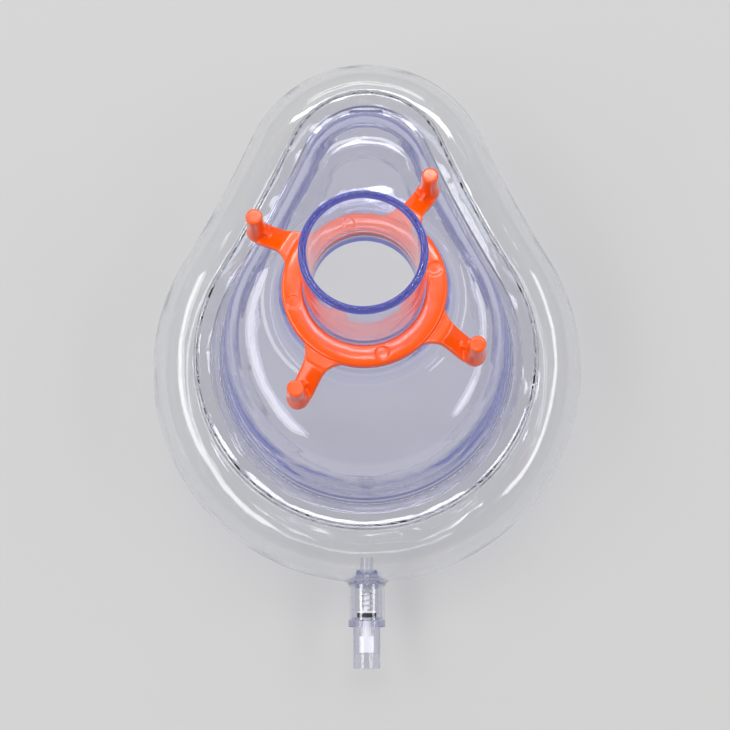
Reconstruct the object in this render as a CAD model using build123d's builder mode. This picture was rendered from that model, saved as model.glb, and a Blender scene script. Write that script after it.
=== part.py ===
from build123d import *
import math
import os

os.makedirs("parts", exist_ok=True)

# Anesthesia face mask, adult size, lying on its cushion with the connector up.
# X runs across the face, +Y from chin to nose, +Z up. The origin is on the table,
# under the middle of the whole mask. Lengths are in millimetres, angles in degrees.

# Outline of the shell's flange: a chin arc and a nose arc joined by two shallow waist arcs
chin_radius = 36.7
nose_radius = 16.0
nose_to_chin = 45.4
waist_radius = 300.0

# Cushion: a blown ring of soft clear plastic, with a collar that grips the flange
cushion_height = 26.0
cushion_reach = 16.0
cushion_lip = 7.0
cushion_foot = 4.0
cushion_foot_inset = 1.0
cushion_wall = 0.8
collar_reach = 3.6
collar_depth = 4.2
collar_root = 3.4
collar_under = 2.0
collar_cover = 1.2
collar_lip = 1.4
collar_round = 0.6
collar_fillet = 1.0
grip_clearance = 0.05

# Shell: flange, dome, boss and connector, moulded in one piece
flange_thickness = 1.6
flange_width = 2.5
shell_wall = 1.8
tab_width = 8.2
tab_depth = 2.8
tab_height = 2.6
tab_gap = 0.1
# Share of the dome's rise, then how far the chin arc and the nose arc have closed on the crown
dome_profile = [
    (0.00, 0.00, 0.00),
    (0.12, 0.03, 0.03),
    (0.35, 0.08, 0.08),
    (0.59, 0.15, 0.15),
    (0.74, 0.24, 0.24),
    (0.83, 0.38, 0.42),
    (0.91, 0.60, 0.72),
    (0.96, 0.79, 0.88),
    (1.00, 0.95, 0.955),
]

# Connector and the boss that it stands on, on an axis that leans towards the nose
connector_tilt = 6.0
connector_ahead = 9.25
connector_bore = 11.15
connector_wall = 1.6
connector_length = 23.5
connector_edge = 0.6
bead_height = 0.5
bead_width = 1.2
bead_gap = 0.5
deck_rise = 32.6
boss_stand = 4.0
boss_root_depth = 4.0
boss_edge = 1.2
boss_root_radius = 2.5
crown_inset = 2.3

# Hook ring: turns on the connector, with four posts for the head strap
ring_clearance = 0.2
ring_lift = 0.1
ring_width = 4.55
ring_thickness = 2.4
ring_edge = 0.4
ring_margin = 0.6
hook_count = 4
hook_turn = 14.0
arm_width = 4.8
arm_flare = 6.0
arm_thickness = 1.7
arm_clearance = 0.7
arm_slope = 5.0
arm_toe = 2.05
arm_drop = 3.3
arm_bend = 2.0
post_radius = 1.8
post_height = 9.5
post_edge = 0.35
post_foot_flare = 0.5
post_foot_height = 3.0
gusset_width = 1.0
gusset_length = 2.6
gusset_height = 2.4
mark_radius = 1.55
mark_depth = 0.15

# Inflation valve, on an axis that leaves the chin along -Y at half the cushion's height
neck_length = 8.8
neck_wall = 0.45
neck_flare = 1.6
valve_clearance = 0.05
housing_radius = 3.8
housing_wall = 0.95
housing_flange = 1.5
flange_proud = 0.1
seat_thickness = 0.7
seat_hole = 1.5
port_radius = 3.22
port_length = 9.7
port_bore = 2.14
port_step = 0.2
retainer_plug = 1.2
retainer_collar = 1.2
retainer_shoulder = 3.1
retainer_tip = 2.4
retainer_length = 3.1
nipple_radius = 1.55
nipple_wall = 0.75
nipple_length = 2.9
seal_room = 0.55
seal_thickness = 1.05
seal_gap = 0.05
disc_setback = 0.05
disc_thickness = 0.4
stem_room = 0.55
head_thickness = 1.6
head_length = 3.8
head_inset = 3.7
head_room = 0.17
head_margin = 0.5
plunger_travel = 2.0
guide_room = 0.25
guide_stop = 0.8
spring_radius = 1.22
spring_wire = 0.17
spring_turns = 5.5
spring_room = 0.11
spring_recess = 0.4

# Radii outwards from the connector's bore
connector_outer = connector_bore + connector_wall
ring_inner = connector_outer + ring_clearance
ring_outer = ring_inner + ring_width
mark_circle = ring_inner + ring_width / 2
boss_radius = ring_outer + ring_margin + boss_edge
crown_radius = boss_radius - crown_inset
arm_shoulder = boss_radius + arm_clearance
arm_elbow = arm_shoulder + arm_slope
post_circle = arm_elbow + arm_toe
arm_end = post_circle + arm_width / 2

# Radii inside the valve
neck_bore = housing_radius + valve_clearance
neck_outer = neck_bore + neck_wall
chamber_radius = housing_radius - housing_wall
seal_radius = chamber_radius - seal_room
disc_radius = seal_radius - disc_setback
stem_radius = seat_hole - stem_room
port_inner_bore = port_bore - port_step
head_width = 2 * math.sqrt((port_inner_bore - head_room) ** 2 - (head_thickness / 2) ** 2)
retainer_bore = spring_radius + spring_wire + spring_room
nipple_bore = nipple_radius - nipple_wall
guide_radius = spring_radius - spring_wire - guide_room

# Heights above the table
flange_height = cushion_height + collar_under
flange_top = flange_height + flange_thickness
collar_top = flange_top + collar_cover
deck_height = flange_height + deck_rise
dome_rise = deck_rise - boss_stand
boss_depth = boss_stand + boss_root_depth

# Places along the valve's axis, measured outwards from the cushion's face at the chin
seat_start = neck_length - seat_thickness
port_start = neck_length + housing_flange
port_end = port_start + port_length
port_free = head_inset - head_margin
seal_start = seat_start - seal_gap - seal_thickness
disc_start = seal_start - disc_thickness
head_start = port_end - head_inset - head_length
guide_length = disc_start + spring_recess - plunger_travel - guide_stop

# Places along Y: the valve's end and the nose end stand equally far from the origin
chin_side = chin_radius + cushion_reach + port_end
nose_side = nose_to_chin + nose_radius + cushion_reach
chin_centre_y = (chin_side - nose_side) / 2
nose_centre_y = chin_centre_y + nose_to_chin
chin_face_y = chin_centre_y - chin_radius - cushion_reach
deck_y = chin_centre_y + connector_ahead

# How far a cut runs past the face it opens
through = 1.0


def close_outline(chin_y, chin_r, nose_y, nose_r, waist_r):
    """Chin arc, two waist arcs and nose arc, each tangent to the next."""
    span = nose_y - chin_y
    chin_leg = waist_r + chin_r
    nose_leg = waist_r + nose_r
    up = (chin_leg**2 - nose_leg**2 + span**2) / (2 * span)
    out = math.sqrt(chin_leg**2 - up**2)
    chin_x = chin_r * out / chin_leg
    chin_joint_y = chin_y + chin_r * up / chin_leg
    nose_x = nose_r * out / nose_leg
    nose_joint_y = nose_y + nose_r * (up - span) / nose_leg
    middle = math.hypot(out, up - span / 2)
    waist_x = out - waist_r * out / middle
    waist_y = chin_y + up - waist_r * (up - span / 2) / middle
    ThreePointArc((-chin_x, chin_joint_y), (0, chin_y - chin_r), (chin_x, chin_joint_y))
    ThreePointArc((chin_x, chin_joint_y), (waist_x, waist_y), (nose_x, nose_joint_y))
    ThreePointArc((nose_x, nose_joint_y), (0, nose_y + nose_r), (-nose_x, nose_joint_y))
    ThreePointArc((-nose_x, nose_joint_y), (-waist_x, waist_y), (-chin_x, chin_joint_y))


def flange_outline(grow):
    """The flange's outline, grown outwards by this much."""
    close_outline(
        chin_centre_y,
        chin_radius + grow,
        nose_centre_y,
        nose_radius + grow,
        waist_radius - grow,
    )


def dome_section(chin_share, nose_share, inset):
    """One level of the dome: both end arcs part way from the flange to the crown."""
    foot = flange_width + inset
    crown = crown_radius - inset
    chin_y = chin_centre_y + (deck_y - chin_centre_y) * chin_share
    chin_r = chin_radius - foot + (crown - chin_radius + foot) * chin_share
    nose_y = nose_centre_y + (deck_y - nose_centre_y) * nose_share
    nose_r = nose_radius - foot + (crown - nose_radius + foot) * nose_share
    close_outline(chin_y, chin_r, nose_y, nose_r, waist_radius)


def cushion_section(inset):
    """The cushion's section: two half ellipses with a flat foot and top between them."""
    middle = cushion_height / 2
    half = middle - inset
    foot_out = cushion_foot_inset + cushion_foot
    foot_in = cushion_foot_inset
    EllipticalCenterArc(
        (foot_out, middle), cushion_reach - foot_out - inset, half, start_angle=-90, arc_size=180
    )
    Line((foot_out, middle + half), (foot_in, middle + half))
    EllipticalCenterArc(
        (foot_in, middle), cushion_lip + foot_in - inset, half, start_angle=90, arc_size=180
    )
    Line((foot_in, middle - half), (foot_out, middle - half))


def turned_plane(plane, angle):
    """The same plane, turned about its own normal."""
    normal = Axis((0, 0, 0), plane.z_dir)
    return Plane(plane.origin, x_dir=plane.x_dir.rotate(normal, angle), z_dir=plane.z_dir)


def at_section(across, height):
    """Picks the point of the cushion's section this far out from the flange and this high."""
    return lambda point: (
        abs(section_plane.to_local_coords(point.center()).X - across) < 0.01
        and abs(point.Z - height) < 0.01
    )


def distance_from(axis, point):
    """Distance of a point from an axis."""
    offset = point.center() - axis.position
    return offset.cross(axis.direction).length


# Planes and axes that several pieces share
tilt = math.radians(connector_tilt)
deck_plane = Plane(
    origin=(0, deck_y, deck_height), x_dir=(1, 0, 0), z_dir=(0, math.sin(tilt), math.cos(tilt))
)
connector_axis = Axis(deck_plane.origin, deck_plane.z_dir)
connector_side = Plane(deck_plane.origin, x_dir=deck_plane.x_dir, z_dir=-deck_plane.y_dir)
hook_plane = turned_plane(deck_plane.offset(ring_lift), hook_turn)
hook_side = Plane(hook_plane.origin, x_dir=hook_plane.x_dir, z_dir=-hook_plane.y_dir)
valve_plane = Plane(
    origin=(0, chin_face_y, cushion_height / 2), x_dir=(1, 0, 0), z_dir=(0, -1, 0)
)

# Solid core of the dome, before it is hollowed
with BuildPart() as dome:
    for rise, chin_share, nose_share in dome_profile:
        with BuildSketch(Plane.XY.offset(flange_height + dome_rise * rise)):
            with BuildLine():
                dome_section(chin_share, nose_share, 0)
            make_face()
    loft()

# Solid boss, rounded at its deck
with BuildPart() as boss:
    with BuildSketch(deck_plane):
        Circle(boss_radius)
    extrude(amount=-boss_depth)
    fillet(boss.edges().group_by(connector_axis)[-1], radius=boss_edge)

# Hollow inside the dome and the boss, one wall in from the outside
with BuildPart() as hollow:
    with BuildSketch(Plane.XY.offset(flange_height - through)):
        with BuildLine():
            dome_section(0, 0, shell_wall)
        make_face()
    extrude(amount=through)
    for rise, chin_share, nose_share in dome_profile:
        with BuildSketch(Plane.XY.offset(flange_height + (dome_rise - shell_wall) * rise)):
            with BuildLine():
                dome_section(chin_share, nose_share, shell_wall * math.sqrt(1 - rise**2))
            make_face()
    loft()
    with BuildSketch(deck_plane.offset(-shell_wall)):
        Circle(boss_radius - shell_wall)
    extrude(amount=shell_wall - boss_depth)

# Shell: dome, boss, flange, nose tab and connector, one clear moulding. The tab's corners
# clear the cushion's collar, whose lip is an arc round the nose
tab_face_y = (
    nose_centre_y + math.sqrt((nose_radius - collar_lip) ** 2 - (tab_width / 2) ** 2) - tab_gap
)
with BuildPart() as shell:
    add(dome.part)
    add(boss.part)
    boss_side = shell.faces().filter_by(GeomType.CYLINDER).sort_by(SortBy.AREA)[-1]
    fillet(boss_side.edges().filter_by(GeomType.BSPLINE), radius=boss_root_radius)
    with BuildSketch(Plane.XY.offset(flange_height)):
        with BuildLine():
            flange_outline(0)
        make_face()
    extrude(amount=flange_thickness)
    with BuildSketch(Plane.XY.offset(flange_height)):
        with Locations((0, tab_face_y - tab_depth / 2)):
            Rectangle(tab_width, tab_depth)
    extrude(amount=flange_thickness + tab_height)
    with BuildSketch(deck_plane):
        Circle(connector_outer)
    extrude(amount=connector_length)
    bead_start = ring_lift + ring_thickness + bead_gap
    with BuildSketch(connector_side):
        with Locations((connector_outer, bead_start + bead_width / 2)):
            Ellipse(bead_height, bead_width / 2)
    revolve(axis=connector_axis)
    add(hollow.part, mode=Mode.SUBTRACT)
    with BuildSketch(deck_plane.offset(-boss_depth)):
        Circle(connector_bore)
    extrude(amount=boss_depth + connector_length, mode=Mode.SUBTRACT)
    fillet(shell.edges().group_by(connector_axis)[-1], radius=connector_edge)

shell.part.label = "shell"
export_step(shell.part, "parts/shell.step")

# Cushion: a hollow ring of one section all round, its collar and the neck for the valve
with BuildLine() as ring_path:
    flange_outline(0)
ring_wire = ring_path.wire()
section_plane = Plane(
    origin=ring_wire @ 0,
    x_dir=(ring_wire % 0).cross(Vector(0, 0, 1)),
    z_dir=-(ring_wire % 0),
)
with BuildPart() as cushion:
    with BuildSketch(section_plane) as outer_section:
        with BuildLine():
            cushion_section(0)
        make_face()
        with BuildLine():
            Polyline(
                (-collar_depth, cushion_height - collar_root),
                (collar_reach, cushion_height - collar_root),
                (collar_reach, collar_top),
                (-collar_lip, collar_top),
                (-collar_lip, flange_top),
                (grip_clearance, flange_top),
                (grip_clearance, flange_height),
                (-collar_depth, flange_height),
                close=True,
            )
        make_face()
        corners = outer_section.vertices()
        fillet(corners.filter_by(at_section(collar_reach, cushion_height)), radius=collar_fillet)
        corners = outer_section.vertices()
        fillet(corners.filter_by(at_section(collar_reach, collar_top)), radius=collar_round)
    sweep(path=ring_wire)
    with BuildSketch(valve_plane.offset(-neck_outer)):
        Circle(neck_outer)
    extrude(amount=neck_outer + neck_length)
    neck_side = cushion.faces().filter_by(GeomType.CYLINDER).sort_by(Axis.Y)[0]
    fillet(neck_side.edges().filter_by(GeomType.BSPLINE), radius=neck_flare)
    with BuildSketch(section_plane):
        with BuildLine():
            cushion_section(cushion_wall)
        make_face()
    sweep(path=ring_wire, mode=Mode.SUBTRACT)
    with BuildSketch(valve_plane.offset(neck_length)):
        Circle(neck_bore)
    extrude(amount=-(neck_length + 3 * cushion_wall), mode=Mode.SUBTRACT)

cushion.part.label = "cushion"
export_step(cushion.part, "parts/cushion.step")

# Arms of the hook ring: a spider's plan cut from a saucer that dips outside the boss
with BuildPart() as hook_arms:
    with BuildSketch(hook_side) as arm_section:
        with BuildLine():
            Polyline(
                (ring_inner + ring_edge, 0),
                (arm_shoulder, 0),
                (arm_elbow, -arm_drop),
                (arm_end + through, -arm_drop),
                (arm_end + through, arm_thickness - arm_drop),
                (arm_elbow, arm_thickness - arm_drop),
                (arm_shoulder, arm_thickness),
                (ring_inner + ring_edge, arm_thickness),
                close=True,
            )
        make_face()
        bends = arm_section.vertices().filter_by(
            lambda point: ring_outer < distance_from(connector_axis, point) < post_circle
        )
        fillet(bends, radius=arm_bend)
    revolve(axis=connector_axis)
    with BuildSketch(hook_plane.offset(-2 * arm_drop)) as spider:
        Circle(ring_outer - ring_edge)
        with PolarLocations(post_circle / 2, hook_count, start_angle=180 / hook_count):
            SlotCenterToCenter(post_circle, arm_width)
        crotches = spider.vertices().filter_by(
            lambda point: distance_from(connector_axis, point) < ring_outer + 0.01
        )
        fillet(crotches, radius=arm_flare)
    extrude(amount=4 * arm_drop, mode=Mode.INTERSECT)

# Hook ring: the ring, its arms, a post with a gusset on each arm, and the ejector marks
with BuildPart() as hook_ring:
    with BuildSketch(hook_plane):
        Circle(ring_outer)
        Circle(ring_inner, mode=Mode.SUBTRACT)
    extrude(amount=ring_thickness)
    fillet(hook_ring.edges().group_by(connector_axis)[-1], radius=ring_edge)
    add(hook_arms.part)
    with BuildSketch(hook_plane.offset(arm_thickness / 2 - arm_drop)):
        with PolarLocations(post_circle, hook_count, start_angle=180 / hook_count):
            Circle(post_radius)
    extrude(amount=post_height - arm_thickness / 2)
    fillet(hook_ring.edges().group_by(connector_axis)[-1], radius=post_edge)
    with Locations(hook_plane.offset(arm_thickness - arm_drop)):
        with PolarLocations(post_circle, hook_count, start_angle=180 / hook_count):
            Cone(
                post_radius + post_foot_flare,
                post_radius,
                post_foot_height,
                align=(Align.CENTER, Align.CENTER, Align.MIN),
            )
    gusset_start = post_circle - post_radius - post_foot_flare - gusset_length
    for hook in range(hook_count):
        along_arm = turned_plane(hook_plane, (hook + 0.5) * 360 / hook_count)
        arm_side = Plane(along_arm.origin, x_dir=along_arm.x_dir, z_dir=-along_arm.y_dir)
        with BuildSketch(arm_side):
            with BuildLine():
                Polyline(
                    (post_circle - post_radius / 2, arm_thickness / 2 - arm_drop),
                    (post_circle - post_radius / 2, arm_thickness - arm_drop + gusset_height),
                    (post_circle - post_radius, arm_thickness - arm_drop + gusset_height),
                    (gusset_start, arm_thickness - arm_drop),
                    (gusset_start, arm_thickness / 2 - arm_drop),
                    close=True,
                )
            make_face()
        extrude(amount=gusset_width / 2, both=True)
    with BuildSketch(hook_plane.offset(ring_thickness)):
        with PolarLocations(mark_circle, hook_count):
            Circle(mark_radius)
    extrude(amount=-mark_depth, mode=Mode.SUBTRACT)

hook_ring.part.label = "hook_ring"
export_step(hook_ring.part, "parts/hook_ring.step")

# Valve housing: inflation port, flange, seat and chamber, one clear moulding
with BuildPart() as valve_housing:
    with BuildSketch(valve_plane):
        Circle(housing_radius)
    extrude(amount=neck_length)
    with BuildSketch(valve_plane.offset(neck_length)):
        Circle(neck_outer + flange_proud)
    extrude(amount=housing_flange)
    with BuildSketch(valve_plane.offset(port_start)):
        Circle(port_radius)
    extrude(amount=port_length)
    with BuildSketch(valve_plane):
        Circle(chamber_radius)
    extrude(amount=seat_start, mode=Mode.SUBTRACT)
    with BuildSketch(valve_plane.offset(seat_start)):
        Circle(seat_hole)
    extrude(amount=seat_thickness, mode=Mode.SUBTRACT)
    with BuildSketch(valve_plane.offset(neck_length)):
        Circle(port_inner_bore)
    extrude(amount=port_end - neck_length, mode=Mode.SUBTRACT)
    with BuildSketch(valve_plane.offset(port_end)):
        Circle(port_bore)
    extrude(amount=-port_free, mode=Mode.SUBTRACT)

valve_housing.part.label = "valve_housing"
export_step(valve_housing.part, "parts/valve_housing.step")

# Retainer: a stepped cap plugged into the chamber's inner end, with an open nipple
with BuildPart() as valve_retainer:
    with BuildSketch(valve_plane):
        Circle(chamber_radius - valve_clearance)
    extrude(amount=retainer_plug)
    with BuildSketch(valve_plane):
        Circle(housing_radius)
    extrude(amount=-retainer_collar)
    with BuildSketch(valve_plane.offset(-retainer_collar)):
        Circle(retainer_shoulder)
    with BuildSketch(valve_plane.offset(-retainer_length)):
        Circle(retainer_tip)
    loft()
    with BuildSketch(valve_plane.offset(-retainer_length)):
        Circle(nipple_radius)
    extrude(amount=-nipple_length)
    with BuildSketch(valve_plane.offset(retainer_plug)):
        Circle(retainer_bore)
    extrude(amount=-retainer_plug - spring_recess, mode=Mode.SUBTRACT)
    with BuildSketch(valve_plane.offset(-spring_recess)):
        Circle(nipple_bore)
    extrude(amount=-retainer_length - nipple_length, mode=Mode.SUBTRACT)

valve_retainer.part.label = "valve_retainer"
export_step(valve_retainer.part, "parts/valve_retainer.step")

# Plunger: guide, disc, stem and flat head, one white moulding
with BuildPart() as valve_plunger:
    with BuildSketch(valve_plane.offset(disc_start - guide_length)):
        Circle(guide_radius)
    extrude(amount=guide_length)
    with BuildSketch(valve_plane.offset(disc_start)):
        Circle(disc_radius)
    extrude(amount=disc_thickness)
    with BuildSketch(valve_plane.offset(seal_start)):
        Circle(stem_radius)
    extrude(amount=head_start - seal_start)
    with BuildSketch(valve_plane.offset(head_start)):
        Rectangle(head_width, head_thickness)
    extrude(amount=head_length)

valve_plunger.part.label = "valve_plunger"
export_step(valve_plunger.part, "parts/valve_plunger.step")

# Seal: a black rubber washer on the stem, pressed towards the seat
with BuildPart() as valve_seal:
    with BuildSketch(valve_plane.offset(seal_start)):
        Circle(seal_radius)
        Circle(stem_radius, mode=Mode.SUBTRACT)
    extrude(amount=seal_thickness)

valve_seal.part.label = "valve_seal"
export_step(valve_seal.part, "parts/valve_seal.step")

# Spring: a wire helix between the retainer and the plunger's disc
with BuildPart() as valve_spring:
    spring_length = disc_start + spring_recess - 2 * spring_wire
    with BuildLine():
        coil = Helix(
            pitch=spring_length / spring_turns,
            height=spring_length,
            radius=spring_radius,
            center=valve_plane.offset(spring_wire - spring_recess).origin,
            direction=valve_plane.z_dir,
        )
    with BuildSketch(Plane(origin=coil @ 0, z_dir=coil % 0)):
        Circle(spring_wire)
    sweep(path=coil)

valve_spring.part.label = "valve_spring"
export_step(valve_spring.part, "parts/valve_spring.step")
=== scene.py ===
import math
import bmesh
import bpy
import numpy as np
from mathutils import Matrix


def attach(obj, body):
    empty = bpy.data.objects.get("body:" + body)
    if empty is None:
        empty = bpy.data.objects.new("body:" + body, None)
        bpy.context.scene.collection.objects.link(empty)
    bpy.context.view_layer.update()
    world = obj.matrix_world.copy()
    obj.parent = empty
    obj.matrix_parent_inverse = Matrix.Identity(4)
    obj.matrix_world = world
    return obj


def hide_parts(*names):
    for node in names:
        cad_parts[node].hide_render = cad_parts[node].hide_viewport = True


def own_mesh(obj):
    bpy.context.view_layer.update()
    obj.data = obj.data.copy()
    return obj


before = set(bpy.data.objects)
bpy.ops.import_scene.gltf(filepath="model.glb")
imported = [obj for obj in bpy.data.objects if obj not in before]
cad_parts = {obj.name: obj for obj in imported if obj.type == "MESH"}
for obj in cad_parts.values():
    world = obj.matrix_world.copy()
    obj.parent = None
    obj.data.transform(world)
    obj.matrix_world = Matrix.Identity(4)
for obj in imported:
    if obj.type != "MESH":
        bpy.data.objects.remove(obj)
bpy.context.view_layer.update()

# Shell: the clear body of the mask, a flange, a dome, a boss and the 22 mm connector in one
# piece. It is injection moulded in hard plastic with a faint violet tint, which shows blue
# wherever the eye looks along a wall. The cushion's collar grips its flange.
MM = 0.001
chin_radius = 36.7 * MM
nose_radius = 16.0 * MM
waist_radius = 300.0 * MM
chin_y = -2.35 * MM
nose_y = 43.05 * MM
flange_low = 28.0 * MM
flange_high = 29.6 * MM
flange_width = 2.5 * MM
shell_wall = 1.8 * MM
dome_rise = 28.6 * MM
crown_radius = 17.0 * MM
dome_profile = np.array(
    [
        (0.00, 0.00, 0.00),
        (0.12, 0.03, 0.03),
        (0.35, 0.08, 0.08),
        (0.59, 0.15, 0.15),
        (0.74, 0.23, 0.23),
        (0.82, 0.31, 0.35),
        (0.865, 0.40, 0.48),
        (0.895, 0.50, 0.62),
        (0.92, 0.63, 0.75),
        (0.942, 0.79, 0.88),
        (0.96, 0.95, 0.955),
    ]
)
tilt = math.radians(6.0)
deck_centre = np.array([0.0, 6.9 * MM, 60.6 * MM])
connector_axis = np.array([0.0, math.sin(tilt), math.cos(tilt)])
connector_back = np.array([0.0, math.cos(tilt), -math.sin(tilt)])
connector_outer = 12.75 * MM
connector_bore = 11.15 * MM
connector_length = 23.5 * MM
bead_low = 3.0 * MM
bead_width = 1.2 * MM
bead_height = 0.3 * MM
boss_top = 17.6 * MM
boss_root = 20.4 * MM
boss_bend = 2.8 * MM
hollow_bend = 3.2 * MM
boss_inset = 1.6 * MM
boss_edge_share = 0.8
hollow_edge_share = 0.5
bend_room = 1.3
bend_limit = 0.45
flange_round = 0.3 * MM
foot_round = 0.5 * MM
foot_gap = 1.2 * MM
deck_round = 0.6 * MM
rim_round = 0.78 * MM
bore_round = 0.8 * MM
side_row = 1.2
nose_share = 0.11
waist_share = 0.12
shell_columns = 288
dome_steps = 240
kept_rows = 56
crowding = 1.3
most_mirrors = 3
most_bends = 9
# The glows below are painted light: emitted colours that stand in for light caught in the walls, blue-grey
# in the walls and deep blue up the connector's rim.
painted_wall_glow = (0.31, 0.33, 0.46)
painted_rim_glow = (0.10, 0.11, 0.38)
painted_rim_glow_from = 66.0 * MM
painted_rim_glow_to = 80.0 * MM


def outline(end_y, end_r, tip_y, tip_r, side_r, turn):
    """Closed outline in plan: a chin arc and a nose arc, joined on each side by a waist arc
    that is tangent to both. turn runs from 0 at the nose round by +X to 0.5 at the chin and
    on to 1. Each arc takes a fixed share of it, and its angle grows evenly along its share."""
    span = tip_y - end_y
    up = ((side_r + end_r) ** 2 - (side_r + tip_r) ** 2 + span**2) / (2 * span)
    out = np.sqrt((side_r + end_r) ** 2 - up**2)
    chin_angle = np.arctan2(up, out)
    nose_angle = np.arctan2(up - span, out)
    half = 0.5 - np.abs(turn % 1.0 - 0.5)
    along_nose = np.clip(half / nose_share, 0, 1)
    along_waist = np.clip((half - nose_share) / waist_share, 0, 1)
    along_chin = np.clip((half - nose_share - waist_share) / (0.5 - nose_share - waist_share), 0, 1)
    angle = np.pi / 2 + (nose_angle - np.pi / 2) * along_nose
    x_nose, y_nose = tip_r * np.cos(angle), tip_y + tip_r * np.sin(angle)
    angle = nose_angle + (chin_angle - nose_angle) * along_waist
    x_waist, y_waist = out - side_r * np.cos(angle), end_y + up - side_r * np.sin(angle)
    angle = chin_angle + (-np.pi / 2 - chin_angle) * along_chin
    x_chin, y_chin = end_r * np.cos(angle), end_y + end_r * np.sin(angle)
    on_nose, on_waist = half < nose_share, half < nose_share + waist_share
    x = np.where(on_nose, x_nose, np.where(on_waist, x_waist, x_chin))
    y = np.where(on_nose, y_nose, np.where(on_waist, y_waist, y_chin))
    return np.where(turn % 1.0 > 0.5, -x, x), y


def round_outline(across, height, turn):
    """Points on the flange's outline, grown by across and lifted to height."""
    x, y = outline(chin_y, chin_radius + across, nose_y, nose_radius + across, waist_radius - across, turn)
    return np.stack([x, y, np.broadcast_to(height, x.shape)], axis=-1)


def smooth_rows(table, steps):
    """A Catmull-Rom curve through the table's rows: in each span the four nearest rows are
    weighed by cubic polynomials, so that the curve passes through each row smoothly."""
    rows = np.vstack([2 * table[0] - table[1], table, 2 * table[-1] - table[-2]])
    place = np.linspace(0, len(table) - 1 - 1e-9, steps)
    span = place.astype(int)
    t = (place - span)[:, None]
    a, b, c, d = (rows[span + k] for k in range(4))
    return 0.5 * (2 * b + (c - a) * t + (2 * a - 5 * b + 4 * c - d) * t**2 + (3 * b - a - 3 * c + d) * t**3)


def dome_rows(inset, turn, steps):
    """The dome from its foot to its crown, inset from its outside: at each level of the
    profile both end arcs have moved and shrunk by their shares towards the crown's circle."""
    rise, chin_share, tip_share = smooth_rows(dome_profile, steps).T[:, :, None]
    step_in = inset * np.sqrt(np.clip(1 - rise**2, 0, 1))
    foot = flange_width + step_in
    crown = crown_radius - step_in
    end_y = chin_y + (deck_centre[1] - chin_y) * chin_share
    end_r = chin_radius - foot + (crown - chin_radius + foot) * chin_share
    tip_y = nose_y + (deck_centre[1] - nose_y) * tip_share
    tip_r = nose_radius - foot + (crown - nose_radius + foot) * tip_share
    x, y = outline(end_y, end_r, tip_y, tip_r, waist_radius, turn)
    height = flange_low + (dome_rise - inset) * rise
    return np.stack([x, y, np.broadcast_to(height, x.shape)], axis=-1)


def from_axis(points):
    """Height above the deck along the connector's axis, distance from it and angle about it."""
    offset = points - deck_centre
    height = offset @ connector_axis
    side, back = offset[..., 0], offset @ connector_back
    return height, np.hypot(side, back), np.arctan2(side, back)


def about_axis(radius, height, angle):
    """The points at this radius, height and angle about the connector's axis."""
    back = (radius * np.cos(angle))[..., None] * connector_back
    side = (radius * np.sin(angle))[..., None] * np.array([1.0, 0.0, 0.0])
    return deck_centre + back + side + np.asarray(height)[..., None] * connector_axis


def cut_at_radius(rows, radius):
    """Each meridian of a dome, cut where it comes to this distance from the connector's
    axis. What is kept is spread over a fixed number of rows, closer towards its top."""
    distance = from_axis(rows)[1]
    count = len(rows)
    inside = np.argmax(distance < radius, axis=0)
    column = np.arange(rows.shape[1])
    before, after = distance[inside - 1, column], distance[inside, column]
    end = inside - 1 + (before - radius) / (before - after)
    place = end * np.sin(np.linspace(0, crowding, kept_rows))[:, None] / math.sin(crowding)
    low = np.minimum(place.astype(int), count - 2)
    share = (place - low)[..., None]
    return rows[low, column] * (1 - share) + rows[low + 1, column] * share


def rounded(corners, steps=6):
    """A line through corners, each (points, radius): a corner with a radius becomes a
    quadratic curve that leaves both its sides at that distance, with one more row beside
    each end so that the sides stay flat. Each column may have a radius of its own."""
    rows = []
    count = len(corners)
    for i, (corner, radius) in enumerate(corners):
        if np.max(radius) == 0:
            rows.append(corner)
            continue
        before, after = corners[(i - 1) % count][0] - corner, corners[(i + 1) % count][0] - corner
        before /= np.linalg.norm(before, axis=-1, keepdims=True)
        after /= np.linalg.norm(after, axis=-1, keepdims=True)
        rows.append(corner + before * radius * side_row)
        for t in np.linspace(0, 1, steps):
            rows.append(corner + before * radius * (1 - t) ** 2 + after * radius * t**2)
        rows.append(corner + after * radius * side_row)
    return rows


def grid_faces(rows, columns, first=0):
    """Four-sided faces of a grid that closes on itself both ways."""
    index = first + np.arange(rows * columns).reshape(rows, columns)
    right, below = np.roll(index, -1, axis=1), np.roll(index, -1, axis=0)
    return np.stack([index, right, np.roll(right, -1, axis=0), below], axis=-1).reshape(-1, 4)


def mesh_piece(name, points, faces, material, body="mask"):
    """A smooth mesh object from arrays of points and four-sided faces, riding on its body.
    Points that no face uses are left out."""
    used, faces = np.unique(faces, return_inverse=True)
    points, faces = points[used], faces.reshape(-1, 4)
    mesh = bpy.data.meshes.new(name)
    mesh.vertices.add(len(points))
    mesh.vertices.foreach_set("co", np.ascontiguousarray(points, np.float32).ravel())
    mesh.loops.add(faces.size)
    mesh.loops.foreach_set("vertex_index", faces.astype(np.int32).ravel())
    mesh.polygons.add(len(faces))
    mesh.polygons.foreach_set("loop_start", np.arange(0, faces.size, 4, dtype=np.int32))
    mesh.polygons.foreach_set("use_smooth", np.ones(len(faces), bool))
    mesh.update(calc_edges=True)
    mesh.validate()
    mesh.materials.append(material)
    piece = bpy.data.objects.new(name, mesh)
    bpy.context.scene.collection.objects.link(piece)
    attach(piece, body)
    return piece


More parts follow.
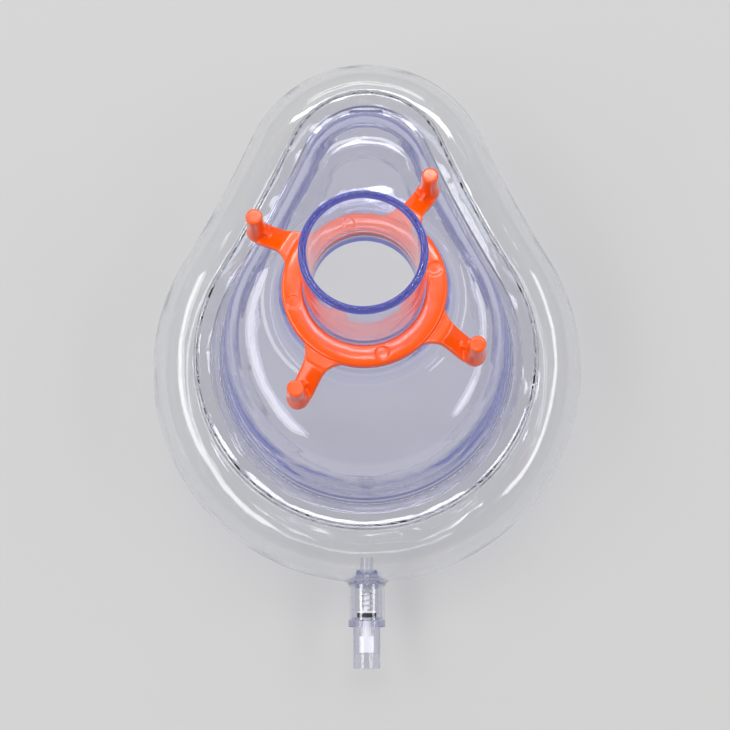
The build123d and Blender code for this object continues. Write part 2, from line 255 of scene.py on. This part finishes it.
def clear_plastic(name, skin_tint, roughness, tint, density, ripple_size, ripple_depth, glow):
    """Clear plastic: glass with an absorbing inside and a skin that ripples gently, as a
    moulding's does. Light on its way to a lamp or scattered by another piece goes straight
    through. Light caught in a wall for many bounces is cut off and replaced by a painted glow
    of the given colour, painted light that stands in for what it would have carried out."""
    material = bpy.data.materials.new(name)
    material.use_nodes = True
    nodes, links = material.node_tree.nodes, material.node_tree.links
    shader = nodes["Principled BSDF"]
    shader.inputs["Base Color"].default_value = (*skin_tint, 1)
    shader.inputs["Transmission Weight"].default_value = 1.0
    shader.inputs["IOR"].default_value = 1.5
    shader.inputs["Roughness"].default_value = roughness
    place = nodes.new("ShaderNodeTexCoord")
    ripple = nodes.new("ShaderNodeTexNoise")
    ripple.inputs["Scale"].default_value = 1 / ripple_size
    ripple.inputs["Detail"].default_value = 1.5
    links.new(place.outputs["Object"], ripple.inputs["Vector"])
    skin = nodes.new("ShaderNodeBump")
    skin.inputs["Distance"].default_value = ripple_depth
    links.new(ripple.outputs["Fac"], skin.inputs["Height"])
    links.new(skin.outputs["Normal"], shader.inputs["Normal"])
    path = nodes.new("ShaderNodeLightPath")
    straight = nodes.new("ShaderNodeMath")
    straight.operation = "MAXIMUM"
    links.new(path.outputs["Is Shadow Ray"], straight.inputs[0])
    links.new(path.outputs["Is Diffuse Ray"], straight.inputs[1])
    let_through = nodes.new("ShaderNodeBsdfTransparent")
    let_through.inputs["Color"].default_value = (0.97, 0.97, 0.98, 1)
    window = nodes.new("ShaderNodeMixShader")
    links.new(straight.outputs[0], window.inputs[0])
    links.new(shader.outputs[0], window.inputs[1])
    links.new(let_through.outputs[0], window.inputs[2])
    mirrored = nodes.new("ShaderNodeMath")
    mirrored.operation = "GREATER_THAN"
    mirrored.inputs[1].default_value = most_mirrors
    links.new(path.outputs["Glossy Depth"], mirrored.inputs[0])
    bent = nodes.new("ShaderNodeMath")
    bent.operation = "GREATER_THAN"
    bent.inputs[1].default_value = most_bends
    links.new(path.outputs["Ray Depth"], bent.inputs[0])
    caught = nodes.new("ShaderNodeMath")
    caught.operation = "MAXIMUM"
    links.new(mirrored.outputs[0], caught.inputs[0])
    links.new(bent.outputs[0], caught.inputs[1])
    light = nodes.new("ShaderNodeEmission")
    light.name = "painted_glow_node"
    light.inputs["Color"].default_value = (*glow, 1)
    whole = nodes.new("ShaderNodeMixShader")
    links.new(caught.outputs[0], whole.inputs[0])
    links.new(window.outputs[0], whole.inputs[1])
    links.new(light.outputs[0], whole.inputs[2])
    links.new(whole.outputs[0], nodes["Material Output"].inputs["Surface"])
    inside = nodes.new("ShaderNodeVolumeAbsorption")
    inside.inputs["Color"].default_value = (*tint, 1)
    inside.inputs["Density"].default_value = density
    links.new(inside.outputs["Volume"], nodes["Material Output"].inputs["Volume"])
    return material


def turn_painted_glow(material, colour, low, high):
    """A clear plastic's painted glow turns evenly into this colour between two heights."""
    nodes, links = material.node_tree.nodes, material.node_tree.links
    light = nodes["painted_glow_node"].inputs["Color"]
    place = nodes.new("ShaderNodeTexCoord")
    level = nodes.new("ShaderNodeSeparateXYZ")
    links.new(place.outputs["Object"], level.inputs[0])
    raised = nodes.new("ShaderNodeMapRange")
    raised.inputs["From Min"].default_value = low
    raised.inputs["From Max"].default_value = high
    links.new(level.outputs["Z"], raised.inputs["Value"])
    shade = nodes.new("ShaderNodeMix")
    shade.data_type = "RGBA"
    links.new(raised.outputs[0], shade.inputs["Factor"])
    shade.inputs["A"].default_value = light.default_value
    shade.inputs["B"].default_value = (*colour, 1)
    links.new(shade.outputs["Result"], light)


shell_plastic = clear_plastic(
    "clear_violet_plastic",
    skin_tint=(0.90, 0.90, 0.935),
    roughness=0.02,
    tint=(0.28, 0.30, 0.95),
    density=80.0,
    ripple_size=9 * MM,
    ripple_depth=0.12 * MM,
    glow=painted_wall_glow,
)
# The shell's painted glow turns deep blue up the connector: painted light for the blue of its rim.
turn_painted_glow(shell_plastic, painted_rim_glow, painted_rim_glow_from, painted_rim_glow_to)
shell_turn = np.arange(shell_columns) / shell_columns
outside_full = dome_rows(0, shell_turn, dome_steps)
outside = cut_at_radius(outside_full, boss_root + bend_room * boss_bend)
boss_foot = cut_at_radius(outside_full, boss_root)[-1]
boss_drop, _, outside_angle = from_axis(boss_foot)
inside_full = dome_rows(shell_wall, shell_turn, dome_steps)
inside = cut_at_radius(inside_full, boss_root - boss_inset + bend_room * hollow_bend)
hollow_foot = cut_at_radius(inside_full, boss_root - boss_inset)[-1]
hollow_drop, _, inside_angle = from_axis(hollow_foot)
outer_bend = np.minimum(boss_bend, -bend_limit * boss_drop[:, None])
inner_bend = np.minimum(hollow_bend, -bend_limit * (hollow_drop[:, None] + shell_wall))
ring = np.ones_like(outside_angle)
above_flange = outside[:, 0, 2] > flange_high + foot_gap

# The section goes up the outside from the flange to the rim, and down the inside back to it
meridian = [(round_outline(-flange_width, flange_high, shell_turn), foot_round)]
meridian += [(row, 0) for row in outside[above_flange]]
meridian += [
    (boss_foot, outer_bend),
    (about_axis(boss_top * ring, 0 * ring, outside_angle), boss_edge_share * outer_bend),
    (about_axis(connector_outer * ring, 0 * ring, outside_angle), deck_round),
]
for step in [-0.2, *np.linspace(0, 1, 9), 1.2]:
    bulge = bead_height * math.sqrt(max(0.0, 1 - (2 * step - 1) ** 2))
    level = (bead_low + bead_width * step) * ring
    meridian.append((about_axis((connector_outer + bulge) * ring, level, outside_angle), 0))
meridian += [
    (about_axis(connector_outer * ring, connector_length * ring, outside_angle), rim_round),
    (about_axis(connector_bore * ring, connector_length * ring, outside_angle), rim_round),
    (about_axis(connector_bore * ring, -shell_wall * ring, inside_angle), bore_round),
    (
        about_axis((boss_top - boss_inset) * ring, -shell_wall * ring, inside_angle),
        hollow_edge_share * inner_bend,
    ),
    (hollow_foot, inner_bend),
]
meridian += [(row, 0) for row in inside[::-1][:-1]]
meridian += [
    (round_outline(-flange_width - shell_wall, flange_low, shell_turn), flange_round),
    (round_outline(0, flange_low, shell_turn), flange_round),
    (round_outline(0, flange_high, shell_turn), flange_round),
]
shell_rows = np.array(rounded(meridian))
shell = mesh_piece(
    "shell_moulding",
    shell_rows.reshape(-1, 3),
    grid_faces(*shell_rows.shape[:2])[:, ::-1],
    shell_plastic,
)
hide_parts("shell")

# Nose tab: a small clear block that stands on the flange at the nose, just inside the
# cushion's collar. It is moulded with the shell, with rounded edges. The block is thick, so
# its tint is set paler than the shell's, or it would show too dark.
tab_width = 8.2 * MM
tab_depth = 3.0 * MM
tab_height = 2.8 * MM
tab_gap = 0.03 * MM
tab_round = 0.25 * MM
collar_reach = 1.4 * MM
tab_clearance = 0.1 * MM
tab_back = nose_y + math.sqrt((nose_radius - collar_reach) ** 2 - (tab_width / 2) ** 2) - tab_clearance
tab_squareness = 9
tab_columns = 64
tab_levels = 10


def block_ring(width, depth, height):
    """A rounded rectangle: the superellipse of a high power with these sides."""
    angle = np.arange(tab_columns) * math.tau / tab_columns
    powers = np.abs(np.cos(angle)) ** tab_squareness + np.abs(np.sin(angle)) ** tab_squareness
    squeeze = powers ** (-1 / tab_squareness)
    x, y = width / 2 * np.cos(angle) * squeeze, depth / 2 * np.sin(angle) * squeeze
    return np.stack([x, tab_back - tab_depth / 2 + y, np.full(tab_columns, height)], axis=-1)


tab_rings = []
for lift in np.radians(np.linspace(-90, 90, tab_levels)):
    shrink = tab_round * (1 - math.cos(lift))
    level = tab_round * math.sin(lift) + (tab_height - tab_round if lift > 0 else tab_round + tab_gap)
    tab_rings.append(block_ring(tab_width - 2 * shrink, tab_depth - 2 * shrink, flange_high + level))
tab_points = np.concatenate(tab_rings)
index = np.arange(len(tab_points)).reshape(len(tab_rings), -1)
after = np.roll(index, -1, axis=1)
sides = np.stack([index[:-1], after[:-1], after[1:], index[1:]], axis=-1).reshape(-1, 4)
tab_mesh = bpy.data.meshes.new("nose_tab")
tab_mesh.from_pydata(
    tab_points.tolist(), [], sides.tolist() + [index[0][::-1].tolist(), index[-1].tolist()]
)
tab_mesh.materials.append(
    clear_plastic(
        "clear_tab_plastic",
        skin_tint=(0.97, 0.97, 0.98),
        roughness=0.02,
        tint=(0.28, 0.30, 0.95),
        density=30.0,
        ripple_size=9 * MM,
        ripple_depth=0.05 * MM,
        glow=painted_wall_glow,
    )
)
tab = bpy.data.objects.new("nose_tab", tab_mesh)
bpy.context.scene.collection.objects.link(tab)
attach(tab, "mask")

# Cushion: the soft ring that seals on the face. It is blown in thin clear plastic and left
# hollow for air, with a thick collar that grips the shell's flange and a neck for the valve.
cushion_height = 26.0 * MM
cushion_reach = 16.0 * MM
cushion_lip = 7.0 * MM
cushion_foot_in = 1.0 * MM
cushion_foot_out = 5.0 * MM
cushion_wall = 0.8 * MM
neck_outer = 4.3 * MM
neck_bore = 3.85 * MM
neck_length = 8.8 * MM
neck_flare = 1.2 * MM
valve_height = 13.0 * MM
neck_end = chin_y - chin_radius - cushion_reach - neck_length
neck_edge = 0.1 * MM
flare_degrees = np.arange(12, 91, 13)
cushion_columns = 360
section_step = 5.0
collar_from = 85
collar_to = 130
middle_row = round(90 / section_step)
window_rows = 6
window_columns = 7


def plain_section(inset, angle):
    """The blown ring's section, out from the flange and up: two half ellipses, one outside
    and one inside, set apart by a flat foot. inset is the distance inwards from its skin."""
    middle = cushion_height / 2
    outer = np.cos(angle) >= 0
    centre = np.where(outer, cushion_foot_out, cushion_foot_in)
    reach = np.where(outer, cushion_reach - cushion_foot_out, cushion_lip + cushion_foot_in)
    return centre + (reach - inset) * np.cos(angle), middle + (middle - inset) * np.sin(angle)


cushion_turn = np.arange(cushion_columns) / cushion_columns
# Its glow is painted light: a pale grey given off where light is caught in the vinyl for many bounces.
clear_vinyl = clear_plastic(
    "soft_clear_vinyl",
    skin_tint=(1.0, 1.0, 1.0),
    roughness=0.03,
    tint=(0.72, 0.74, 0.82),
    density=110.0,
    ripple_size=16 * MM,
    ripple_depth=0.5 * MM,
    glow=(0.42, 0.43, 0.46),
)
below_collar = np.arange(-90, collar_from, section_step)
past_collar = np.arange(collar_to, 270, section_step)
outer_angle = np.radians(np.concatenate([below_collar, past_collar]))


def ring_rows(across, height):
    """A closed section carried round the flange's outline."""
    return np.array([round_outline(a, h, cushion_turn) for a, h in zip(across, height)])


across, height = plain_section(0, outer_angle)
split = len(below_collar)

# The collar's corners in mm, out from the flange's edge and up, each with its rounding: up
# its outside, over its low crest, down to the flange, round the flange's edge and under it
collar = [
    ((3.6, 26.0), 1.0),
    ((3.9, 30.0), 0.6),
    ((3.3, 30.8), 0.6),
    ((2.0, 30.7), 0.9),
    ((-1.4, 30.05), 0.15),
    ((-1.4, 29.65), 0.1),
    ((0.05, 29.65), 0.1),
    ((0.05, 27.95), 0.1),
    ((-4.2, 27.95), 0.3),
]
section = [(np.array([a, h]), 0) for a, h in zip(across[:split], height[:split])]
section += [(np.array(point) * MM, radius * MM) for point, radius in collar]
section += [(np.array([a, h]), 0) for a, h in zip(across[split:], height[split:])]
outer_section = np.array(rounded(section, steps=5))
outer_rows = ring_rows(*outer_section.T)
inner_angle = np.radians(np.arange(-90, 270, section_step))
inner_section = np.array(plain_section(cushion_wall, inner_angle)).T
inner_rows = ring_rows(*inner_section.T)


def chin_skin(inset, x, height):
    """How far back the ring's outer side lies at the chin: the section's outer half ellipse
    gives its reach at this height, and a circle about the chin arc's centre gives y."""
    middle = cushion_height / 2
    level = (height - middle) / (middle - inset)
    reach = (cushion_reach - cushion_foot_out - inset) * np.sqrt(1 - level**2)
    return chin_y - np.sqrt((chin_radius + cushion_foot_out + reach) ** 2 - x**2)


def cut_window(shape, first):
    """A grid's faces less the window for the neck, and the window's border in order."""
    rows, columns = shape
    row, column = middle_row, columns // 2
    low, high = row - window_rows, row + window_rows
    near, far = column - window_columns, column + window_columns
    kept = np.ones((rows, columns), bool)
    kept[low:high, near:far] = False
    border = [(low, c) for c in range(near, far)] + [(r, far) for r in range(low, high)]
    border += [(high, c) for c in range(far, near, -1)] + [(r, near) for r in range(high, low, -1)]
    faces = grid_faces(rows, columns, first).reshape(rows, columns, 4)[kept]
    return faces, first + np.array([r * columns + c for r, c in border])


def neck_rings(outer_border, inner_border):
    """Rings of points that carry the outer skin from its window into a flare, out along the
    neck, round its end and back inside to the inner skin's window."""
    turn = np.arctan2(outer_border[:, 2] - valve_height, outer_border[:, 0])
    circle = np.stack([np.cos(turn), np.sin(turn)], axis=-1)
    centre = np.array([0.0, valve_height])
    rings = []

    def add(flat, y):
        rings.append(np.stack([flat[:, 0], y, flat[:, 1]], axis=-1))

    foot = centre + (neck_outer + neck_flare) * circle
    for share in (0.25, 0.5, 0.75, 1.0):
        flat = outer_border[:, [0, 2]] * (1 - share) + foot * share
        add(flat, chin_skin(0, *flat.T))
    for lift in np.radians(flare_degrees):
        flat = centre + (neck_outer + neck_flare * (1 - np.sin(lift))) * circle
        add(flat, chin_skin(0, *flat.T) - neck_flare * (1 - np.cos(lift)))
    ends = [(neck_outer, 4), (neck_outer, 1), (neck_outer - neck_edge, 0), (neck_bore + neck_edge, 0)]
    for radius, back in ends + [(neck_bore, 1), (neck_bore, 4)]:
        flat = centre + radius * circle
        add(flat, np.full(len(turn), neck_end + back * neck_edge))
    for step_out, back in ((0, 4), (0, 1), (1, 0), (4, 0)):
        flat = centre + (neck_bore + step_out * neck_edge) * circle
        add(flat, chin_skin(cushion_wall, *flat.T) - back * neck_edge)
    foot = rings[-1][:, [0, 2]]
    for share in (0.35, 0.7):
        flat = foot * (1 - share) + inner_border[:, [0, 2]] * share
        add(flat, chin_skin(cushion_wall, *flat.T))
    return rings


cushion_points = np.concatenate([outer_rows.reshape(-1, 3), inner_rows.reshape(-1, 3)])
outer_faces, outer_border = cut_window(outer_rows.shape[:2], 0)
inner_faces, inner_border = cut_window(inner_rows.shape[:2], outer_rows.shape[0] * outer_rows.shape[1])
rings = np.array(neck_rings(cushion_points[outer_border], cushion_points[inner_border]))
neck_index = len(cushion_points) + np.arange(rings.shape[0] * rings.shape[1]).reshape(rings.shape[:2])
loops = np.vstack([outer_border, neck_index, inner_border])
after = np.roll(loops, -1, axis=1)
neck_faces = np.stack([loops[:-1], loops[1:], after[1:], after[:-1]], axis=-1).reshape(-1, 4)
cushion = mesh_piece(
    "cushion_skin",
    np.concatenate([cushion_points, rings.reshape(-1, 3)]),
    np.concatenate([outer_faces[:, ::-1], inner_faces, neck_faces]),
    clear_vinyl,
)
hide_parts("cushion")

# Hook ring: it turns on the connector and holds the head strap by four posts. It is moulded
# in opaque orange plastic, glossy on top, with rounded edges and four ejector marks.
ring_cell = 0.21 * MM
ring_bore = 12.95 * MM
ring_width = 4.55 * MM
ring_top = 2.5 * MM
ring_crown = 0.3 * MM
ring_middle = ring_bore + ring_width / 2
crowned_depth = 0.8 * MM
crowned_slack = 0.1 * MM
bore_band = 0.3 * MM
mark_count = 4
mark_radius = 1.55 * MM
mark_line = 0.08 * MM
mark_turn = math.radians(14.0)
mark_columns = 64
mark_rows = 8


def solid_plastic(name, colour, roughness, grain, depth, mirror=0.5, coat=0.0, painted_glow_share=0.0):
    """Opaque plastic, rubber or paper: its skin is finely uneven, and its roughness varies
    with that by three tenths. coat is a clear gloss over it. The last argument is the share
    of its own colour that it gives off as a painted glow, painted light that brightens it."""
    material = bpy.data.materials.new(name)
    material.use_nodes = True
    nodes, links = material.node_tree.nodes, material.node_tree.links
    shader = nodes["Principled BSDF"]
    shader.inputs["Base Color"].default_value = (*colour, 1)
    shader.inputs["Specular IOR Level"].default_value = mirror
    shader.inputs["Coat Weight"].default_value = coat
    shader.inputs["Coat Roughness"].default_value = 0.05
    shader.inputs["Emission Color"].default_value = (*colour, 1)
    shader.inputs["Emission Strength"].default_value = painted_glow_share
    place = nodes.new("ShaderNodeTexCoord")
    skin = nodes.new("ShaderNodeTexNoise")
    skin.inputs["Scale"].default_value = 1 / grain
    skin.inputs["Detail"].default_value = 3
    links.new(place.outputs["Object"], skin.inputs["Vector"])
    gloss = nodes.new("ShaderNodeMapRange")
    gloss.inputs["To Min"].default_value = roughness * 0.7
    gloss.inputs["To Max"].default_value = roughness * 1.3
    links.new(skin.outputs["Fac"], gloss.inputs["Value"])
    links.new(gloss.outputs[0], shader.inputs["Roughness"])
    relief = nodes.new("ShaderNodeBump")
    relief.inputs["Distance"].default_value = depth
    links.new(skin.outputs["Fac"], relief.inputs["Height"])
    links.new(relief.outputs["Normal"], shader.inputs["Normal"])
    return material


def relaxed_copy(node, name, cell, rounds):
    """A CAD node's mesh, merged, remeshed in small cells and relaxed, so that its edges and
    inner corners are rounded as a moulding's are."""
    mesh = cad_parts[node].data.copy()
    work = bmesh.new()
    work.from_mesh(mesh)
    bmesh.ops.remove_doubles(work, verts=work.verts, dist=1e-7)
    work.to_mesh(mesh)
    work.free()
    piece = bpy.data.objects.new(name, mesh)
    bpy.context.scene.collection.objects.link(piece)
    cells = piece.modifiers.new("cells", "REMESH")
    cells.mode = "VOXEL"
    cells.voxel_size = cell
    relax = piece.modifiers.new("relax", "SMOOTH")
    relax.factor = 0.5
    relax.iterations = rounds
    bpy.context.view_layer.update()
    done = bpy.data.meshes.new_from_object(piece.evaluated_get(bpy.context.evaluated_depsgraph_get()))
    piece.modifiers.clear()
    piece.data = done
    done.materials.clear()
    return piece


def crown_drop(distance):
    """The ring's top is crowned: it falls with the square of the way from its middle line."""
    return ring_crown * ((distance - ring_bore - ring_width / 2) / (ring_width / 2)) ** 2


# The orange gives off a tenth of its own colour as a painted glow, painted light that makes it brighter than
# its lamps do.
orange = solid_plastic(
    "orange_plastic", (1.0, 0.10, 0.0), roughness=0.22, grain=2.5 * MM, depth=0.03 * MM, coat=0.3, painted_glow_share=0.1
)
orange_bore = solid_plastic(
    "orange_plastic_bore", (1.0, 0.02, 0.06), roughness=0.9, grain=2.5 * MM, depth=0.02 * MM, mirror=0.0
)
hook_ring = relaxed_copy("hook_ring", "hook_ring_moulding", ring_cell, rounds=3)
points = np.empty(len(hook_ring.data.vertices) * 3, np.float32)
hook_ring.data.vertices.foreach_get("co", points)
points = points.reshape(-1, 3).astype(float)
height, distance, _ = from_axis(points)
on_top = (height > ring_top - crowned_depth) & (distance < ring_bore + ring_width + crowned_slack)
points -= (crown_drop(distance) * on_top)[:, None] * connector_axis
hook_ring.data.vertices.foreach_set("co", points.astype(np.float32).ravel())
hook_ring.data.materials.append(orange)
hook_ring.data.materials.append(orange_bore)
corners = np.empty(len(hook_ring.data.loops), np.int32)
hook_ring.data.loops.foreach_get("vertex_index", corners)
near_bore = distance[corners.reshape(-1, 4)].max(axis=1) < ring_bore + bore_band
hook_ring.data.polygons.foreach_set("material_index", near_bore.astype(np.int32))
hook_ring.data.polygons.foreach_set("use_smooth", np.ones(len(near_bore), bool))
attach(hook_ring, "hook_ring")
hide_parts("hook_ring")

mark_around, mark_tube = np.meshgrid(
    np.arange(mark_columns) * math.tau / mark_columns, np.arange(mark_rows) * math.tau / mark_rows
)
mark_points = []
for k in range(mark_count):
    turn = mark_turn + k * math.tau / mark_count
    reach = mark_radius + mark_line * np.cos(mark_tube)
    side = ring_middle * math.cos(turn) + reach * np.cos(mark_around)
    back = ring_middle * math.sin(turn) + reach * np.sin(mark_around)
    distance = np.hypot(side, back)
    level = ring_top - crown_drop(distance) + mark_line * 0.5 * np.sin(mark_tube)
    mark_points.append(about_axis(distance, level, np.arctan2(side, back)))
marks = mesh_piece(
    "ejector_marks",
    np.concatenate([m.reshape(-1, 3) for m in mark_points]),
    np.concatenate(
        [grid_faces(mark_rows, mark_columns, first=mark_rows * mark_columns * k) for k in range(mark_count)]
    ),
    orange,
    body="hook_ring",
)

# Valve: the inflation valve, held in the cushion's neck. Its housing and the retainer that
# closes it are clear violet mouldings, its plunger is moulded in white, and its seal is a
# washer of black rubber.
# Its glow is painted light: a pale violet given off where light is caught in the small walls for many
# bounces.
valve_plastic = clear_plastic(
    "valve_clear_plastic",
    skin_tint=(1.0, 1.0, 1.0),
    roughness=0.02,
    tint=(0.42, 0.44, 0.72),
    density=150.0,
    ripple_size=3 * MM,
    ripple_depth=0.02 * MM,
    glow=(0.40, 0.41, 0.52),
)
# The white gives off a fifth of its own colour as a painted glow, painted light that keeps the plunger pure
# white behind the clear housing.
white_plastic = solid_plastic(
    "white_plastic", (0.97, 0.97, 0.96), roughness=0.3, grain=1.2 * MM, depth=0.01 * MM, painted_glow_share=0.2
)
black_rubber = solid_plastic(
    "black_rubber", (0.03, 0.031, 0.033), roughness=0.7, grain=0.6 * MM, depth=0.02 * MM, mirror=0.1
)
for node, material in {
    "valve_housing": valve_plastic,
    "valve_retainer": valve_plastic,
    "valve_plunger": white_plastic,
    "valve_seal": black_rubber,
}.items():
    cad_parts[node].data.materials.clear()
    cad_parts[node].data.materials.append(material)

# Valve spring: a coil wound of thin steel wire, held between the retainer and the plunger's
# disc.
steel = solid_plastic("spring_steel", (0.7, 0.7, 0.71), roughness=0.4, grain=0.4 * MM, depth=0.005 * MM)
steel.node_tree.nodes["Principled BSDF"].inputs["Metallic"].default_value = 1.0
spring_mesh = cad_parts["valve_spring"].data.copy()
spring_mesh.materials.clear()
spring_mesh.materials.append(steel)
spring = bpy.data.objects.new("valve_spring_wire", spring_mesh)
bpy.context.scene.collection.objects.link(spring)
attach(spring, "mask")
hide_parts("valve_spring")
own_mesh(spring)

# Floor, lights and camera: the mask lies on pale paper, under five white panel lamps and an
# even surround. The camera looks down from 0.32 m above the paper, 9 degrees off vertical,
# where it was fitted to the connector's rim, the deck and the table.
floor_reach = 2.0
floor_mesh = bpy.data.meshes.new("floor")
floor_corners = [(x * floor_reach, y * floor_reach, 0) for x, y in ((-1, -1), (1, -1), (1, 1), (-1, 1))]
floor_mesh.from_pydata(floor_corners, [], [(0, 1, 2, 3)])


def floor_paper(shade, glow):
    """Pale paper: it takes shadows with its own colour, and shows the rest of its paleness
    only to the eye and to reflections and clear pieces."""
    material = solid_plastic("floor_paper", shade, roughness=0.8, grain=60 * MM, depth=0.02 * MM, mirror=0.0)
    nodes, links = material.node_tree.nodes, material.node_tree.links
    light = nodes.new("ShaderNodeEmission")
    light.inputs["Color"].default_value = (*glow, 1)
    path = nodes.new("ShaderNodeLightPath")
    seen = nodes.new("ShaderNodeMath")
    seen.operation = "MAXIMUM"
    seen_too = nodes.new("ShaderNodeMath")
    seen_too.operation = "MAXIMUM"
    links.new(path.outputs["Is Camera Ray"], seen.inputs[0])
    links.new(path.outputs["Is Glossy Ray"], seen.inputs[1])
    links.new(seen.outputs[0], seen_too.inputs[0])
    links.new(path.outputs["Is Transmission Ray"], seen_too.inputs[1])
    links.new(seen_too.outputs[0], light.inputs["Strength"])
    both = nodes.new("ShaderNodeAddShader")
    links.new(nodes["Principled BSDF"].outputs[0], both.inputs[0])
    links.new(light.outputs[0], both.inputs[1])
    links.new(both.outputs[0], nodes["Material Output"].inputs["Surface"])
    return material


floor_mesh.materials.append(floor_paper(shade=(0.30, 0.30, 0.30), glow=(0.345, 0.345, 0.345)))
floor = bpy.data.objects.new("floor", floor_mesh)
bpy.context.scene.collection.objects.link(floor)


def softbox(name, place, width, height, radiance):
    """A white panel lamp aimed at the origin, wide along the horizon: its power is its
    radiance times its area times pi."""
    lamp = bpy.data.lights.new(name, "AREA")
    lamp.shape = "RECTANGLE"
    lamp.size, lamp.size_y = width, height
    lamp.energy = radiance * width * height * math.pi
    panel = bpy.data.objects.new(name, lamp)
    bpy.context.scene.collection.objects.link(panel)
    panel.location = place
    panel.rotation_euler = panel.location.to_track_quat("Z", "Y").to_euler()


softbox("ceiling_panel", (0.0, 0.32, 1.35), width=0.18, height=0.14, radiance=14.0)
softbox("left_panel", (-0.75, -0.1, 0.88), width=1.5, height=0.30, radiance=5.0)
softbox("right_panel", (0.9, 0.0, 0.8), width=1.4, height=0.2, radiance=5.0)
softbox("top_strip", (0.0, 0.64, 1.05), width=0.8, height=0.09, radiance=18.0)
softbox("nose_panel", (0.0, 0.95, 0.75), width=0.8, height=0.09, radiance=7.0)
world = bpy.data.worlds.new("studio")
bpy.context.scene.world = world
world.use_nodes = True
world.node_tree.nodes["Background"].inputs["Color"].default_value = (0.96, 0.95, 0.93, 1)
world.node_tree.nodes["Background"].inputs["Strength"].default_value = 0.25
camera = bpy.data.objects.new("camera", bpy.data.cameras.new("camera"))
bpy.context.scene.collection.objects.link(camera)
camera.location = (3.0 * MM, -51.24 * MM, 324.46 * MM)
camera.rotation_euler = (math.radians(9), math.radians(0.63), 0)
camera.data.lens = 62.877
camera.data.clip_start = 0.01
bpy.context.scene.camera = camera
bpy.context.scene.view_settings.view_transform = "Standard"
